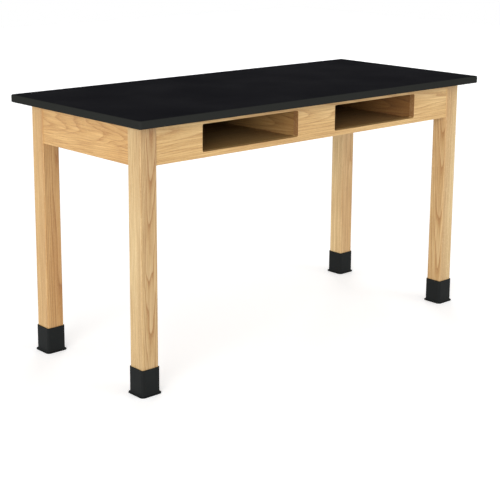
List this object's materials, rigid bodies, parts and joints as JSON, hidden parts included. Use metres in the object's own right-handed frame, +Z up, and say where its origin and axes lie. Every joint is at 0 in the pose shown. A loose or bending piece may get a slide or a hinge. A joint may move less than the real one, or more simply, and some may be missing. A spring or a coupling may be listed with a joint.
{
  "type": "science lab table",
  "caption": "Rectangular science lab table: thin black slab on an oak frame with straight square legs, front book compartments, corner-braced aprons, levelers and black rubber leg shoes.",
  "frame": {"origin": "on the floor, under the middle of the worktop", "axes": "+X along the table to the right as seen from the front, +Y to the back, +Z up"},
  "size_m": [1.3716, 0.6096, 0.762],
  "materials": {
    "black_worktop": "satin black chemical-resistant worktop, fine even texture",
    "oak": "clear satin lacquer on plain-sawn oak, open grain",
    "compartment_board": "unfinished smooth board",
    "cleat_wood": "unfinished sawn softwood",
    "zinc_plated_steel": "bright zinc plate",
    "pad_nylon": "moulded black nylon",
    "shoe_rubber": "satin moulded black rubber"
  },
  "bodies": {
    "frame": {"worktop": "black_worktop", "front_apron": "oak", "back_apron": "oak", "left_apron": "oak", "right_apron": "oak", "front_left_leg": "oak", "front_left_corner_brace": "zinc_plated_steel", "front_left_leveler_insert": "zinc_plated_steel", "front_right_leg": "oak", "front_right_corner_brace": "zinc_plated_steel", "front_right_leveler_insert": "zinc_plated_steel", "back_left_leg": "oak", "back_left_corner_brace": "zinc_plated_steel", "back_left_leveler_insert": "zinc_plated_steel", "back_right_leg": "oak", "back_right_corner_brace": "zinc_plated_steel", "back_right_leveler_insert": "zinc_plated_steel", "leg_hanger_bolts": "zinc_plated_steel", "leg_bolt_washers": "zinc_plated_steel", "leg_bolt_nuts": "zinc_plated_steel", "corner_brace_screws": "zinc_plated_steel", "top_brackets": "zinc_plated_steel", "bracket_apron_screws": "zinc_plated_steel", "bracket_top_screws": "zinc_plated_steel", "left_compartment_left_wall": "compartment_board", "left_compartment_right_wall": "compartment_board", "left_compartment_back_wall": "compartment_board", "left_compartment_floor": "compartment_board", "left_compartment_floor_screws": "zinc_plated_steel", "right_compartment_left_wall": "compartment_board", "right_compartment_right_wall": "compartment_board", "right_compartment_back_wall": "compartment_board", "right_compartment_floor": "compartment_board", "right_compartment_floor_screws": "zinc_plated_steel", "left_compartment_left_cleat": "cleat_wood", "left_compartment_right_cleat": "cleat_wood", "right_compartment_left_cleat": "cleat_wood", "right_compartment_right_cleat": "cleat_wood", "cleat_screws": "zinc_plated_steel"},
    "front_left_foot": {"front_left_leveler_pad": "pad_nylon"},
    "front_left_screw": {"front_left_leveler_stud": "zinc_plated_steel"},
    "front_left_leg_shoe": {"front_left_shoe": "shoe_rubber"},
    "front_right_foot": {"front_right_leveler_pad": "pad_nylon"},
    "front_right_screw": {"front_right_leveler_stud": "zinc_plated_steel"},
    "front_right_leg_shoe": {"front_right_shoe": "shoe_rubber"},
    "back_left_foot": {"back_left_leveler_pad": "pad_nylon"},
    "back_left_screw": {"back_left_leveler_stud": "zinc_plated_steel"},
    "back_left_leg_shoe": {"back_left_shoe": "shoe_rubber"},
    "back_right_foot": {"back_right_leveler_pad": "pad_nylon"},
    "back_right_screw": {"back_right_leveler_stud": "zinc_plated_steel"},
    "back_right_leg_shoe": {"back_right_shoe": "shoe_rubber"}
  },
  "joints": [
    {"name": "front_left_leveler_travel", "type": "slide", "parent": "frame", "child": "front_left_foot", "axis": [0, 0, -1], "range_m": [0, 0.015]},
    {"name": "front_left_stud_turn", "type": "hinge", "parent": "front_left_foot", "child": "front_left_screw", "pos_m": [-0.6207, -0.227, 0.018], "axis": [0, 0, -1], "range_deg": [0, 3830]},
    {"name": "front_left_shoe_slide", "type": "slide", "parent": "frame", "child": "front_left_leg_shoe", "axis": [0, 0, 1], "range_m": [-0.015, 0.06]},
    {"name": "front_right_leveler_travel", "type": "slide", "parent": "frame", "child": "front_right_foot", "axis": [0, 0, -1], "range_m": [0, 0.015]},
    {"name": "front_right_stud_turn", "type": "hinge", "parent": "front_right_foot", "child": "front_right_screw", "pos_m": [0.6207, -0.227, 0.018], "axis": [0, 0, -1], "range_deg": [0, 3830]},
    {"name": "front_right_shoe_slide", "type": "slide", "parent": "frame", "child": "front_right_leg_shoe", "axis": [0, 0, 1], "range_m": [-0.015, 0.06]},
    {"name": "back_left_leveler_travel", "type": "slide", "parent": "frame", "child": "back_left_foot", "axis": [0, 0, -1], "range_m": [0, 0.015]},
    {"name": "back_left_stud_turn", "type": "hinge", "parent": "back_left_foot", "child": "back_left_screw", "pos_m": [-0.6207, 0.227, 0.018], "axis": [0, 0, -1], "range_deg": [0, 3830]},
    {"name": "back_left_shoe_slide", "type": "slide", "parent": "frame", "child": "back_left_leg_shoe", "axis": [0, 0, 1], "range_m": [-0.015, 0.06]},
    {"name": "back_right_leveler_travel", "type": "slide", "parent": "frame", "child": "back_right_foot", "axis": [0, 0, -1], "range_m": [0, 0.015]},
    {"name": "back_right_stud_turn", "type": "hinge", "parent": "back_right_foot", "child": "back_right_screw", "pos_m": [0.6207, 0.227, 0.018], "axis": [0, 0, -1], "range_deg": [0, 3830]},
    {"name": "back_right_shoe_slide", "type": "slide", "parent": "frame", "child": "back_right_leg_shoe", "axis": [0, 0, 1], "range_m": [-0.015, 0.06]}
  ],
  "couplings": [
    {"joint": "front_left_stud_turn", "follows": "front_left_leveler_travel", "rad_per_m": 4452.6},
    {"joint": "front_right_stud_turn", "follows": "front_right_leveler_travel", "rad_per_m": 4452.6},
    {"joint": "back_left_stud_turn", "follows": "back_left_leveler_travel", "rad_per_m": 4452.6},
    {"joint": "back_right_stud_turn", "follows": "back_right_leveler_travel", "rad_per_m": 4452.6}
  ]
}
